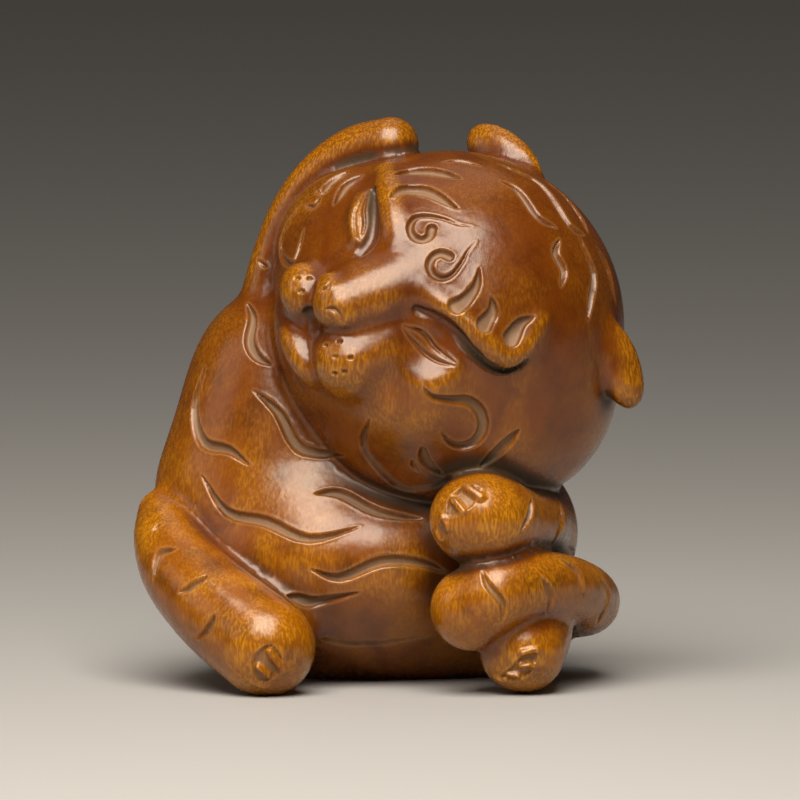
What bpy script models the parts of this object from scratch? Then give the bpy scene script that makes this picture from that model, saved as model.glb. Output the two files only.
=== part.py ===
"""A boxwood tiger, asleep with its cheek on one paw, carved from a single block.

Run it with: blender --background --python part.py

The figure is laid out as a carver draws it on the front of the block. In that drawing x runs to the
right, z up the sheet and y into the block, and one step is about a 56th of the figure's height. The
sheet leans back by LEAN, so the finished carving is turned upright by that angle, cut flat where it
rests and scaled to HEIGHT.
"""

from math import cos, pi, radians, sin

import bmesh
import bpy
import numpy as np
from mathutils import Matrix, Vector
from mathutils.bvhtree import BVHTree

# The height of the real carving, in metres
HEIGHT = 0.060

# How far the drawing leans back from upright
LEAN = radians(5.0)

# How far up the drawing the finished figure is cut flat, so that both feet reach the ground
GROUND = 0.7

# The grain of the roughed-out skin, how often it is halved along the cuts, and the faces kept
GRAIN = 0.85
HALVINGS = 1
FACES_KEPT = 9400

# Crease left where one mass meets another, in steps of the drawing
SEAM = 0.9

# The cuts' depth, and how wide their walls are in plan
CUT_DEPTH = 0.55
WALL = 0.35

# The head's own frame: its middle, where the face looks, and where the crown points
HEAD_MIDDLE = Vector((5.7, -2.7, 36.85))
FACE = Vector((-0.45, -0.86, 0.25)).normalized()
CROWN = Vector((0.79, -0.25, 0.56))
CROWN = (CROWN - FACE * CROWN.dot(FACE)).normalized()
NEAR = CROWN.cross(FACE)
HEAD_AXES = [NEAR, FACE, CROWN]

# Where the flat of the nose looks
NOSE_TOP = Vector((-0.10, -0.80, 0.60)).normalized()


def head(across, ahead, up):
    """A place on the head: across to its near cheek, ahead to its nose and up to its crown."""
    return HEAD_MIDDLE + NEAR * across + FACE * ahead + CROWN * up


def smooth_path(stations, steps):
    """A smooth curve through a few stations, with steps points for each stretch between two."""
    p = [np.array(station, float) for station in stations]
    p = [2 * p[0] - p[1], *p, 2 * p[-1] - p[-2]]
    path = []
    for before, a, b, after in zip(p, p[1:], p[2:], p[3:]):
        turn = 2 * before - 5 * a + 4 * b - after
        swing = 3 * a - before - 3 * b + after
        for t in np.arange(steps) / steps:
            path.append(a + 0.5 * t * ((b - before) + t * (turn + t * swing)))
    return np.array([*path, p[-2]])


def to_stretches(points, path):
    """Each point's distance to every stretch of a path, and how far along the stretch it lies."""
    spans = np.diff(path, axis=0)
    lengths = np.maximum((spans**2).sum(1), 1e-12)
    offset = points[:, None] - path[:-1]
    along = ((offset * spans).sum(2) / lengths).clip(0, 1)
    apart = offset - along[..., None] * spans
    return np.sqrt((apart**2).sum(2)), along


class Lump:
    """A rounded lump of wood: an ellipsoid with its own directions."""

    def __init__(self, middle, radii, axes=None, blend=2.0):
        self.middle = np.array(middle, float)
        self.radii = np.array(radii, float)
        self.axes = np.array(axes if axes else np.eye(3), float)
        self.blend = blend
        self.reach = self.radii.max()

    def distance(self, points):
        local = (points - self.middle) @ self.axes.T / self.radii
        near = np.sqrt((local**2).sum(1))
        slope = np.sqrt(((local / self.radii) ** 2).sum(1))
        return near * (near - 1) / np.maximum(slope, 1e-9)

    def balls(self):
        turn = Matrix(self.axes.T.tolist()).to_4x4()
        return [Matrix.Translation(self.middle) @ turn @ Matrix.Diagonal((*self.radii, 1))]


class Limb:
    """A limb or a ridge: a round bar that swells and thins along a smooth curve."""

    def __init__(self, stations, blend=2.0, steps=4):
        """Each station is a place and the bar's radius there."""
        path = smooth_path([(*place, radius) for place, radius in stations], steps)
        self.path = path[:, :3]
        self.radii = path[:, 3]
        self.blend = blend
        self.middle = (self.path.min(0) + self.path.max(0)) / 2
        self.reach = np.linalg.norm(self.path - self.middle, axis=1).max() + self.radii.max()

    def distance(self, points):
        apart, along = to_stretches(points, self.path)
        return (apart - self.radii[:-1] - along * np.diff(self.radii)).min(1)

    def balls(self):
        return [Matrix.Translation(p) @ Matrix.Scale(r, 4) for p, r in zip(self.path, self.radii)]


def smooth_min(a, b, blend):
    share = (0.5 + 0.5 * (b - a) / blend).clip(0, 1)
    return b + (a - b) * share - blend * share * (1 - share)


def joined(points, masses):
    """How far outside the masses each point is, each mass flowing into those before it."""
    depth = masses[0].distance(points)
    for mass in masses[1:]:
        apart = np.linalg.norm(points - mass.middle, axis=1) - mass.reach
        close = apart < depth + mass.blend
        depth[close] = smooth_min(depth[close], mass.distance(points[close]), mass.blend)
    return depth


def scooped(points, depth, hollows):
    """The same distance once the hollows are scooped out."""
    for hollow in hollows:
        close = np.linalg.norm(points - hollow.middle, axis=1) < hollow.reach + 4
        inside = hollow.distance(points[close])
        depth[close] = -smooth_min(-depth[close], inside, hollow.blend)
    return depth


def in_front_of(masses, x, z, proud):
    """The place drawn at (x, z) on the masses, moved towards the viewer by proud."""
    y = -60.0
    for step in range(60):
        y += joined(np.array([[x, y, z]]), masses)[0]
    return (x, y - proud, z)


# The body, limb by limb. Each lump and limb is placed on the drawing.


def torso():
    return [
        Lump((-3.5, 3.0, 12.6), (17.0, 14.5, 10.4)),
        Lump((-6.6, 4.6, 19.0), (17.0, 12.0, 15.2), blend=4),
        Lump((-8.4, 4.4, 29.6), (11.9, 9.6, 11.6), blend=4),
        Lump((9.2, 3.0, 15.6), (9.6, 11.0, 8.8), blend=4),
        Lump((0.4, 8.6, 5.6), (17.8, 10.0, 6.2), blend=3),
        Limb([((-12.0, 0.0, 10.6), 6.0), ((-15.4, -3.8, 8.3), 4.7), ((-11.6, -8.4, 5.5), 4.0)], 3),
    ]


def far_arm():
    return [
        Limb(
            [
                ((-12.3, 3.0, 38.5), 2.8),
                ((-11.2, 3.2, 43.1), 2.6),
                ((-9.5, 3.4, 47.4), 2.6),
                ((-6.8, 3.0, 51.0), 2.7),
                ((-3.4, 2.2, 53.4), 2.8),
                ((0.1, 1.0, 54.3), 2.8),
            ]
        )
    ]


def near_arm():
    return [
        Limb(
            [
                ((13.5, 4.0, 16.0), 4.3),
                ((14.2, -4.0, 16.4), 3.8),
                ((13.0, -9.5, 16.4), 3.6),
                ((11.0, -13.0, 16.8), 4.2),
            ]
        ),
        Lump((9.0, -15.0, 17.0), (5.1, 4.7, 4.7), blend=1.0),
    ]


def tail():
    return [
        Limb(
            [
                ((-5.0, 13.5, 12.0), 3.2),
                ((0.5, 16.6, 8.8), 3.2),
                ((7.5, 16.4, 7.6), 3.0),
                ((14.0, 12.0, 8.0), 2.9),
                ((18.8, 7.0, 8.0), 3.0),
                ((19.9, 0.0, 8.8), 3.1),
                ((18.0, -7.5, 10.0), 3.2),
                ((14.4, -13.0, 10.4), 3.5),
                ((10.6, -15.4, 9.5), 3.9),
                ((8.2, -14.8, 8.1), 4.2),
            ]
        )
    ]


def near_foot():
    return [Limb([((14.0, -3.0, 8.8), 4.2), ((13.9, -8.5, 6.0), 4.3), ((13.2, -12.4, 4.0), 4.3)])]


def far_leg():
    return [
        Limb(
            [
                ((-22.6, 1.4, 17.3), 2.7),
                ((-22.0, -2.2, 14.6), 3.6),
                ((-20.3, -5.8, 11.4), 4.3),
                ((-16.7, -10.0, 7.7), 4.8),
                ((-12.4, -13.6, 4.3), 5.0),
            ]
        )
    ]


# The head: a round skull first, then what stands out from its front


def head_lump(across, ahead, up, radii, blend):
    return Lump(head(across, ahead, up), radii, HEAD_AXES, blend)


SKULL = [
    Lump((5.9, -2.7, 36.2), (17.5, 16.6, 17.5)),
    Lump((12.2, -3.4, 28.6), (9.3, 9.3, 9.3), blend=4),
    Lump((-2.6, -2.4, 43.2), (8.9, 8.2, 8.9), blend=2),
    head_lump(0.0, 11.2, -6.4, (7.4, 5.6, 6.2), 4),
    Lump((2.6, -12.6, 29.2), (6.4, 6.4, 5.6), blend=3),
    Lump((2.8, -7.0, 26.2), (8.0, 6.4, 6.5), blend=3),
    Lump((8.0, -9.0, 26.3), (8.0, 6.5, 6.4), blend=3),
]


def on_head(x, z, proud):
    return in_front_of(SKULL, x, z, proud)


def ridge(stations, proud, blend):
    """A ridge laid along the head. Each station is its x, z and radius."""
    return Limb([(on_head(x, z, proud), radius) for x, z, radius in stations], blend)


def muzzle():
    along = Vector((0.9, 0.18, 0.40))
    along = (along - NOSE_TOP * along.dot(NOSE_TOP)).normalized()
    return [
        Limb(
            [
                (on_head(-4.7, 38.4, 0.4), 2.3),
                (on_head(-0.6, 39.6, -1.4), 3.0),
                (on_head(3.6, 41.6, -3.6), 3.4),
            ],
            2.0,
        ),
        Lump(on_head(-1.8, 39.6, -0.6), (6.0, 3.5, 2.4), [along, NOSE_TOP.cross(along), NOSE_TOP], 1.6),
        ridge([(-6.0, 40.2, 1.2), (-5.2, 38.5, 1.6), (-4.3, 37.1, 1.2)], 1.4, 0.8),
        Limb(
            [
                (on_head(-3.8, 32.6, -1.0), 3.7),
                (on_head(0.2, 34.0, -2.8), 3.9),
                (on_head(4.0, 31.8, -3.1), 3.7),
            ],
            1.2,
        ),
        Lump(on_head(-8.2, 39.4, -1.0), (3.3, 2.5, 2.7), HEAD_AXES, 0.9),
        Lump(on_head(-8.6, 33.3, -1.1), (3.9, 2.3, 1.7), HEAD_AXES, 0.6),
    ]


def brows_and_lids():
    return [
        ridge(
            [
                (3.2, 39.6, 1.4),
                (6.7, 36.8, 1.8),
                (9.3, 34.5, 2.0),
                (11.2, 33.2, 1.9),
                (13.1, 34.2, 1.6),
                (14.6, 36.6, 1.1),
            ],
            -0.9,
            0.9,
        ),
        ridge([(1.2, 36.0, 0.7), (3.0, 35.7, 1.1), (4.8, 34.3, 1.1), (7.2, 32.5, 0.7)], -1.4, 0.6),
        ridge([(-0.3, 51.4, 0.9), (0.1, 49.0, 1.5), (0.6, 46.4, 1.5), (0.8, 44.0, 0.9)], -1.0, 1.6),
        ridge([(-2.6, 48.6, 0.8), (-2.9, 46.8, 1.1), (-2.9, 44.8, 0.8)], -0.6, 1.2),
    ]


def far_ear():
    """A thin flap that leans out from the crown and faces forward."""
    outward = -NEAR * 0.95 - CROWN * 0.3
    axes = [outward, FACE, FACE.cross(outward)]
    return [Lump(head(-12.4, -3.0, 12.2), (5.3, 1.4, 2.7), axes, blend=1.0)]


def near_ear():
    """A flap shaped like a leaf, which hangs beside the head with its tip down."""
    down = Vector((0.40, 0.10, -0.91)).normalized()
    front = Vector((0.20, -0.96, 0.0))
    front = (front - down * front.dot(down)).normalized()
    axes = [down.cross(front), front, down]
    return [
        Lump((22.4, -8.8, 32.9), (2.3, 1.5, 4.6), axes, blend=1.0),
        Lump((23.3, -8.9, 30.4), (1.7, 1.2, 2.6), axes, blend=0.8),
    ]


HEAD = [*SKULL, *muzzle(), *brows_and_lids(), *far_ear(), *near_ear()]

# The socket of the near eye, the valleys under the brows, and the hollow of the mouth
HEAD_HOLLOWS = [
    Lump(on_head(3.9, 34.2, 3.6), (4.1, 4.1, 4.1), blend=1.5),
    ridge(
        [
            (2.6, 37.8, 0.2),
            (4.6, 36.9, 0.4),
            (6.5, 35.5, 0.5),
            (8.4, 33.6, 0.5),
            (10.6, 32.0, 0.45),
            (12.8, 32.4, 0.35),
            (14.4, 34.4, 0.2),
        ],
        0.0,
        0.7,
    ),
    ridge([(-1.5, 49.4, 0.2), (-1.5, 47.4, 0.35), (-1.8, 45.0, 0.35), (-2.9, 43.2, 0.2)], 0.1, 0.9),
    ridge([(-7.9, 37.2, 0.8), (-7.6, 35.6, 0.9)], 0.4, 0.5),
]
BODY = [torso(), far_leg(), near_foot(), tail(), near_arm(), far_arm()]


def form(points):
    """How far each point is outside the uncut figure."""
    depth = scooped(points, joined(points, HEAD), HEAD_HOLLOWS)
    for masses in BODY:
        depth = smooth_min(depth, joined(points, masses), SEAM)
    return depth


# The cuts, drawn as (x, z) on the front of the block or as (y, z) on its sides


class Cut:
    """One stroke of the gouge. Its width runs from a point at the start to the given taper."""

    def __init__(self, stations, width, taper="leaf", side="front", depth=CUT_DEPTH, wall=WALL):
        self.plan = smooth_path(stations, 4)
        self.width = width
        self.taper = taper
        self.side = side
        self.depth = depth
        self.wall = wall
        self.path = None

    def lay_on(self, tree):
        """Drops the drawn line on the figure's skin. Past the outline it follows the edge."""
        along_x = Vector((1, 0, 0))
        along_y = Vector((0, 1, 0))
        across, into = {
            "front": (along_x, along_y),
            "back": (along_x, -along_y),
            "left": (along_y, along_x),
            "right": (along_y, -along_x),
        }[self.side]
        hits = []
        for u, z in self.plan:
            start = across * u + Vector((0, 0, z)) - into * 100
            hit = tree.ray_cast(start, into)[0] or tree.find_nearest(start + into * 95)[0]
            hits.append(hit)
        self.path = np.array(hits)

    def half_width(self, share):
        swell = {"leaf": np.sin(pi * share), "drop": share, "line": 1.0}[self.taper]
        return 0.5 * self.width * np.maximum(swell, 0) ** 0.6

    def near(self, points, margin):
        low = self.path.min(0) - self.width - margin
        high = self.path.max(0) + self.width + margin
        return np.flatnonzero(((points > low) & (points < high)).all(1))

    def bite(self, points):
        """How deep the stroke is at each point, and how far outside its edge each point lies."""
        apart, along = to_stretches(points, self.path)
        nearest = apart.argmin(1)
        rows = np.arange(len(points))
        share = (nearest + along[rows, nearest]) / (len(self.path) - 1)
        outside = apart[rows, nearest] - self.half_width(share)
        wall = (-outside / self.wall).clip(0, 1)
        return self.depth * wall * wall * (3 - 2 * wall), outside


def curl(tail_points, middle, start, turn, radius=1.6, closes_to=0.5, steps=7):
    """A line that ends in a curl: it turns about middle from the angle start, closing in."""
    stations = list(tail_points)
    for step in range(steps):
        share = step / (steps - 1)
        angle = radians(start + turn * share)
        reach = radius + (closes_to - radius) * share
        stations.append((middle[0] + reach * cos(angle), middle[1] + reach * sin(angle)))
    return stations


FLANK = [
    [(-14.3, 38.5), (-13.8, 37.0), (-14.1, 34.7), (-13.3, 33.1), (-11.7, 32.2)],
    [(-18.5, 32.2), (-19.6, 28.0), (-18.7, 24.6), (-16.1, 23.8), (-13.9, 22.2)],
    [(-13.7, 29.8), (-11.2, 27.6), (-9.4, 24.4), (-7.2, 23.5), (-4.4, 23.3)],
    [(-18.9, 21.4), (-16.4, 17.7), (-12.4, 16.7), (-8.1, 15.0), (-2.9, 16.2)],
    [(-7.7, 19.5), (-5.0, 19.5), (-1.3, 17.7), (3.4, 16.9)],
    [(-8.1, 12.0), (-5.0, 11.1), (-0.9, 12.7), (3.0, 12.6), (5.8, 11.6)],
    [(-10.3, 9.4), (-9.0, 9.0), (-7.4, 8.7), (-2.9, 9.7)],
    [(-6.9, 5.1), (-4.8, 4.6), (-1.0, 4.6), (3.8, 5.2)],
]
LEG_AND_ARM = [
    [(-18.1, 11.4), (-19.6, 10.4), (-21.1, 9.6)],
    [(-17.4, 7.6), (-18.0, 6.2), (-19.2, 5.0)],
    [(-21.3, 14.0), (-23.1, 13.4), (-23.6, 10.6)],
    [(14.1, 19.0), (13.9, 17.4), (12.8, 15.3)],
    [(16.7, 19.0), (17.2, 17.0), (15.9, 13.9)],
]
TAIL_RINGS = [
    [(9.1, 11.9), (9.8, 10.4), (11.2, 8.6), (11.1, 6.7)],
    [(15.1, 11.2), (16.0, 9.4), (15.6, 7.5)],
    [(16.9, 13.0), (18.8, 11.6), (19.3, 8.9)],
    [(20.9, 11.3), (21.8, 9.2), (20.6, 6.4)],
]
BROW_CURLS = [
    curl([(8.3, 46.0), (6.8, 46.2), (5.3, 46.8)], (3.2, 45.8), 75, 290, 1.35, 0.95),
    curl([(8.6, 44.6), (7.7, 43.5), (7.2, 42.5)], (5.2, 42.2), -45, -265, 1.4, 1.1),
]
BROW_DROPS = [
    [(8.9, 42.0), (8.6, 40.2), (7.6, 38.8), (6.6, 38.1)],
    [(10.1, 39.1), (10.2, 37.6), (9.4, 36.3)],
    [(14.4, 37.1), (13.0, 36.4), (12.0, 34.9)],
]
CROWN_LEAVES = [
    [(-0.1, 48.9), (1.4, 49.7), (4.0, 49.4), (6.9, 47.7)],
    [(0.3, 51.2), (2.6, 51.6), (5.0, 51.4), (7.1, 50.8)],
]
CROWN_CUTS = [
    [(11.0, 50.6), (12.8, 49.6), (14.7, 47.0), (16.6, 45.9)],
    [(10.9, 52.3), (15.1, 50.2), (17.9, 46.2), (19.4, 45.2)],
    [(15.6, 50.6), (17.6, 48.9), (19.0, 47.0), (19.7, 45.5)],
    [(16.9, 44.8), (16.5, 43.4), (17.3, 41.6), (17.0, 40.0)],
    [(18.8, 45.2), (20.3, 41.4), (20.0, 38.8), (19.7, 36.6)],
    [(20.6, 44.0), (21.7, 41.9), (22.5, 38.4)],
]
CHEEK_CUTS = [
    curl([(3.2, 30.2), (4.2, 29.1), (6.2, 28.8)], (7.0, 26.4), 70, -230, 2.4, 2.1),
    [(12.9, 25.9), (11.3, 24.2), (8.8, 22.0)],
    [(3.2, 24.2), (3.6, 22.6), (5.3, 21.2)],
    [(-2.0, 27.0), (-2.6, 24.0), (0.7, 20.3), (3.7, 20.1), (7.0, 21.5)],
    [(-2.8, 51.2), (-4.3, 50.2), (-5.6, 48.2)],
    [(-4.2, 51.6), (-5.7, 50.7), (-7.1, 49.3)],
]
TUFTS = [
    [(-8.9, 48.2), (-10.1, 46.6), (-10.9, 44.6), (-10.7, 42.9), (-9.8, 42.4), (-9.1, 43.8), (-8.6, 45.8)],
    [(-8.4, 48.2), (-7.6, 48.1), (-6.9, 49.0)],
    [(-7.4, 49.6), (-6.6, 49.5), (-5.9, 50.2)],
]
LIDS = [
    [(1.3, 36.2), (3.2, 35.5), (4.6, 33.9), (6.7, 32.3)],
    [(1.3, 35.9), (2.9, 34.0), (4.6, 32.7), (6.7, 32.1)],
    [(-2.1, 49.4), (-2.6, 47.9), (-2.5, 46.4), (-2.9, 44.6)],
    [(-2.5, 49.3), (-3.5, 47.5), (-3.5, 45.7), (-2.9, 44.5)],
]

# Each paw has a shallow bed, drawn as a stroke with its width, and toes that stand up in it as beads
BEDS = [
    ([(9.2, 19.7), (7.9, 19.5), (6.6, 18.5), (5.7, 17.2)], 2.7),
    ([(5.6, 17.0), (5.2, 15.9), (5.2, 14.9)], 1.4),
    ([(-11.8, 4.6), (-12.2, 2.6), (-12.8, 0.8)], 3.2),
    ([(14.4, 4.1), (13.8, 2.9), (12.6, 1.7), (10.9, 1.2)], 2.0),
]
BEADS = [
    ([(7.6, 20.2), (8.5, 19.6), (9.0, 19.2)], 1.4),
    ([(6.3, 18.9), (6.9, 18.2), (7.2, 17.8)], 1.35),
    ([(5.2, 17.3), (5.6, 16.4), (5.8, 16.0)], 1.0),
    ([(4.7, 15.6), (5.0, 15.0)], 0.8),
    ([(-11.9, 3.9), (-11.6, 3.3), (-10.6, 2.0)], 1.2),
    ([(-13.1, 2.3), (-12.6, 1.9), (-12.1, 1.5)], 1.1),
    ([(-13.6, 0.8), (-12.9, 0.5), (-12.2, 0.4)], 0.9),
    ([(13.1, 3.7), (14.0, 3.9), (14.6, 4.0)], 1.1),
    ([(13.0, 2.4), (13.7, 2.5), (14.2, 2.4)], 1.0),
    ([(11.7, 1.6), (12.3, 1.5), (12.8, 1.4)], 0.9),
    ([(10.5, 1.3), (11.0, 1.1), (11.4, 1.0)], 0.8),
]


def back_cuts():
    """Stripes that leave the spine in pairs, and shorter ones down the back of the head."""
    cuts = []
    for row in range(5):
        z = 33 - 6.4 * row
        reach = 6.5 + 1.2 * row
        for side in (1, -1):
            x = -7 + 0.6 * row
            line = [(x + side * s * reach, z - d) for s, d in ((0.12, 0), (0.5, 0.4), (1, 2.6))]
            cuts.append(Cut(line, 1.3, side="back"))
    for row in range(4):
        z = 49 - 4.2 * row
        for side in (1, -1):
            x = 9.5 + 0.9 * row
            line = [(x + side * 1.0, z), (x + side * 3.4, z + 0.3), (x + side * 6, z - 1.6)]
            cuts.append(Cut(line, 1.1, side="back"))
    return cuts


def all_cuts():
    cuts = [Cut(line, 1.3) for line in FLANK + CHEEK_CUTS]
    cuts += [Cut(line, 1.0) for line in LEG_AND_ARM + TAIL_RINGS + CROWN_CUTS]
    cuts += [Cut(line, 1.15, "drop", depth=0.45) for line in BROW_CURLS]
    cuts += [Cut(line, 1.9, "drop") for line in BROW_DROPS]
    cuts += [Cut(line, 1.6) for line in CROWN_LEAVES]
    cuts += [Cut(line, 0.6, depth=0.4) for line in LIDS]
    cuts += [Cut(line, 0.8, depth=0.4) for line in TUFTS]
    cuts += [Cut(line, width, depth=0.4) for line, width in BEDS]
    return cuts + back_cuts()


def all_beads():
    return [Cut(line, width, "line", depth=0.5, wall=0.5) for line, width in BEADS]


# From the masses to the skin


def roughed_out():
    """The block roughed out a little oversize: every mass as balls, fused into one skin."""
    bm = bmesh.new()
    for mass in HEAD + [mass for masses in BODY for mass in masses]:
        for place in mass.balls():
            bmesh.ops.create_icosphere(bm, subdivisions=3, radius=1.04, matrix=place)
    rough = bpy.data.meshes.new("rough")
    bm.to_mesh(rough)
    bm.free()
    rough = with_modifier(rough, "REMESH", mode="VOXEL", voxel_size=GRAIN)
    rough = with_modifier(rough, "TRIANGULATE")
    fill_pockets(rough)
    return rough


def fill_pockets(mesh):
    """Fills the pockets shut in between the balls: only the skin around the outside is kept."""
    bm = bmesh.new()
    bm.from_mesh(mesh)
    outermost = max(bm.verts, key=lambda vertex: vertex.co.x)
    outside, front = {outermost}, [outermost]
    while front:
        vertex = front.pop()
        for edge in vertex.link_edges:
            other = edge.other_vert(vertex)
            if other not in outside:
                outside.add(other)
                front.append(other)
    inside = [vertex for vertex in bm.verts if vertex not in outside]
    bmesh.ops.delete(bm, geom=inside, context="VERTS")
    bm.to_mesh(mesh)
    bm.free()


def with_modifier(mesh, kind, **settings):
    """The mesh that one modifier makes of another."""
    thing = bpy.data.objects.new("draft", mesh)
    bpy.context.scene.collection.objects.link(thing)
    modifier = thing.modifiers.new(kind, kind)
    for name, value in settings.items():
        setattr(modifier, name, value)
    depsgraph = bpy.context.evaluated_depsgraph_get()
    made = bpy.data.meshes.new_from_object(thing.evaluated_get(depsgraph))
    bpy.data.objects.remove(thing)
    bpy.data.meshes.remove(mesh)
    return made


def rows_of(items, name, width=3, kind=float):
    flat = np.empty(len(items) * width, kind)
    items.foreach_get(name, flat)
    return flat.reshape(-1, width)


def put_points(mesh, points):
    mesh.vertices.foreach_set("co", points.ravel())
    mesh.update()


def fit_to_form(mesh, rounds, evening=0.0):
    """Moves the skin onto the form along its normals, evening out its faces on the way.

    In the last two rounds a point that is still far from the form goes between its neighbours.
    """
    ends = rows_of(mesh.edges, "vertices", 2, int)
    count = np.bincount(ends.ravel(), minlength=len(mesh.vertices))[:, None]
    for turn in range(rounds):
        points = rows_of(mesh.vertices, "co")
        total = np.zeros_like(points)
        for one, other in (ends.T, ends.T[::-1]):
            for axis in range(3):
                total[:, axis] += np.bincount(one, points[other, axis], len(points))
        if turn < rounds - 2:
            points += evening * (total / count - points)
            put_points(mesh, points)
        depth = form(points)
        points -= rows_of(mesh.vertices, "normal") * depth[:, None].clip(-1, 1)
        if turn >= rounds - 2:
            stray = np.abs(depth) > 0.4
            points[stray] = (total / count)[stray]
        put_points(mesh, points)


def beside(points, cuts, margin):
    """Which points lie on a cut or less than margin outside its edge."""
    close = np.zeros(len(points), bool)
    for cut in cuts:
        rows = cut.near(points, margin)
        close[rows[cut.bite(points[rows])[1] < margin]] = True
    return close


def in_creases(mesh, reach, share):
    """Which points lie in a crease, where another part of the form stands close in front."""
    points = rows_of(mesh.vertices, "co")
    clear = form(points + rows_of(mesh.vertices, "normal") * reach)
    return clear < share * reach


def halve(mesh, close):
    """Halves the edges that reach a marked point, so the skin is finer there."""
    bm = bmesh.new()
    bm.from_mesh(mesh)
    edges = [e for e in bm.edges if close[e.verts[0].index] or close[e.verts[1].index]]
    bmesh.ops.subdivide_edges(bm, edges=edges, cuts=1, use_grid_fill=True)
    bmesh.ops.triangulate(bm, faces=[f for f in bm.faces if len(f.verts) > 3])
    bm.to_mesh(mesh)
    bm.free()


def carve(mesh, cuts, beads):
    """Sinks the cuts into the skin, leaving the beads, and returns how deep each point went."""
    points = rows_of(mesh.vertices, "co")
    sunk = np.zeros(len(points))
    for cut in cuts:
        rows = cut.near(points, 0)
        sunk[rows] = np.maximum(sunk[rows], cut.bite(points[rows])[0])
    for bead in beads:
        rows = bead.near(points, 0)
        rise = bead.bite(points[rows])[0]
        sunk[rows] -= (sunk[rows] / bead.depth + 0.6) * rise
    put_points(mesh, points - rows_of(mesh.vertices, "normal") * sunk[:, None])
    return sunk


def set_on_base(mesh):
    """Turns the drawing upright, cuts the figure flat where it rests and scales it to HEIGHT."""
    bm = bmesh.new()
    bm.from_mesh(mesh)
    bmesh.ops.rotate(bm, verts=bm.verts, matrix=Matrix.Rotation(-LEAN, 3, "X"))
    whole = bm.verts[:] + bm.edges[:] + bm.faces[:]
    cut = bmesh.ops.bisect_plane(
        bm, geom=whole, dist=0.08, plane_co=(0, 0, GROUND), plane_no=(0, 0, 1), clear_inner=True
    )
    rim = [edge for edge in cut["geom_cut"] if isinstance(edge, bmesh.types.BMEdge)]
    for edge in rim:
        for vertex in edge.verts:
            vertex.co.z = GROUND
    base = bmesh.ops.contextual_create(bm, geom=rim)["faces"]
    bmesh.ops.triangulate(bm, faces=base)
    places = np.array([vertex.co for vertex in bm.verts])
    low, high = places.min(0), places.max(0)
    centre = Vector((*(low[:2] + high[:2]) / 2, GROUND))
    bmesh.ops.translate(bm, verts=bm.verts, vec=-centre)
    bmesh.ops.scale(bm, verts=bm.verts, vec=[HEIGHT / (high[2] - GROUND)] * 3)
    bm.to_mesh(mesh)
    bm.free()


def boxwood():
    material = bpy.data.materials.new("boxwood")
    material.use_nodes = True
    shader = material.node_tree.nodes["Principled BSDF"]
    shader.inputs["Base Color"].default_value = (0.26, 0.08, 0.012, 1)
    shader.inputs["Roughness"].default_value = 0.32
    shader.inputs["Metallic"].default_value = 0.0
    return material


def carved_skin():
    mesh = roughed_out()
    fit_to_form(mesh, rounds=6, evening=0.5)
    tree = BVHTree.FromPolygons(
        [vertex.co for vertex in mesh.vertices], [face.vertices[:] for face in mesh.polygons]
    )
    cuts, beads = all_cuts(), all_beads()
    for cut in cuts + beads:
        cut.lay_on(tree)
    for turn in range(HALVINGS):
        near_cuts = beside(rows_of(mesh.vertices, "co"), cuts + beads, 0.8)
        halve(mesh, near_cuts | in_creases(mesh, 1.0, 0.6))
        fit_to_form(mesh, rounds=2)
    carve(mesh, cuts, beads)
    return mesh


def main():
    for thing in list(bpy.data.objects):
        bpy.data.objects.remove(thing)
    mesh = carved_skin()
    mesh = with_modifier(mesh, "DECIMATE", ratio=FACES_KEPT / len(mesh.polygons))
    set_on_base(mesh)
    mesh.name = "tiger"
    mesh.materials.clear()
    mesh.materials.append(boxwood())
    tiger = bpy.data.objects.new("tiger", mesh)
    bpy.context.scene.collection.objects.link(tiger)


main()
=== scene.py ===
"""A boxwood tiger, asleep with its cheek on one paw, with its carved and waxed skin.

The figure is laid out as a carver draws it on the front of the block. In that drawing x runs to the
right, z up the sheet and y into the block, and one step is about a 56th of the figure's height. The
sheet leans back by LEAN, and the finished carving is turned upright by that angle.
"""

from math import cos, pi, radians, sin

import bmesh
import bpy
import numpy as np
from mathutils import Matrix, Vector
from mathutils.bvhtree import BVHTree


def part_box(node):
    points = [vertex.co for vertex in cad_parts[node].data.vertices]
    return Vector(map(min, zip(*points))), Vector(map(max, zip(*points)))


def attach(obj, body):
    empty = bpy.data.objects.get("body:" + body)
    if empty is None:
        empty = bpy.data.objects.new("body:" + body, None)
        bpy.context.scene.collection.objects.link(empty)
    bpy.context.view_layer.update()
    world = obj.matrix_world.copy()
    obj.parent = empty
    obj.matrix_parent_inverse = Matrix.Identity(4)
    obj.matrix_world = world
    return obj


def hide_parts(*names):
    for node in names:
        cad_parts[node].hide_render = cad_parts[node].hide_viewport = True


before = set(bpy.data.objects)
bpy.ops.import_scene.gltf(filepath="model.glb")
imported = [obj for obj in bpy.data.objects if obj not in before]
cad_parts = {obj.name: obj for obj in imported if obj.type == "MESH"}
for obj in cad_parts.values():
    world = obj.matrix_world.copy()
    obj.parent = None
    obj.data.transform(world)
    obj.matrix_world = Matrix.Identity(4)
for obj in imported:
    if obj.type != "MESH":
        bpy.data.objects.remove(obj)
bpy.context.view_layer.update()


# The torso and haunch. One deep rounded mass of boxwood that the limbs lie against, cut first from
# the block. It is made of lumps that flow into each other, as a carver rounds one form into the next.


def smooth_min(a, b, blend):
    share = (0.5 + 0.5 * (b - a) / blend).clip(0, 1)
    return b + (a - b) * share - blend * share * (1 - share)


def joined(points, masses):
    """How far outside the masses each point is, each mass flowing into those before it."""
    depth = masses[0].distance(points)
    for mass in masses[1:]:
        apart = np.linalg.norm(points - mass.middle, axis=1) - mass.reach
        close = apart < depth + mass.blend
        depth[close] = smooth_min(depth[close], mass.distance(points[close]), mass.blend)
    return depth


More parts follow.
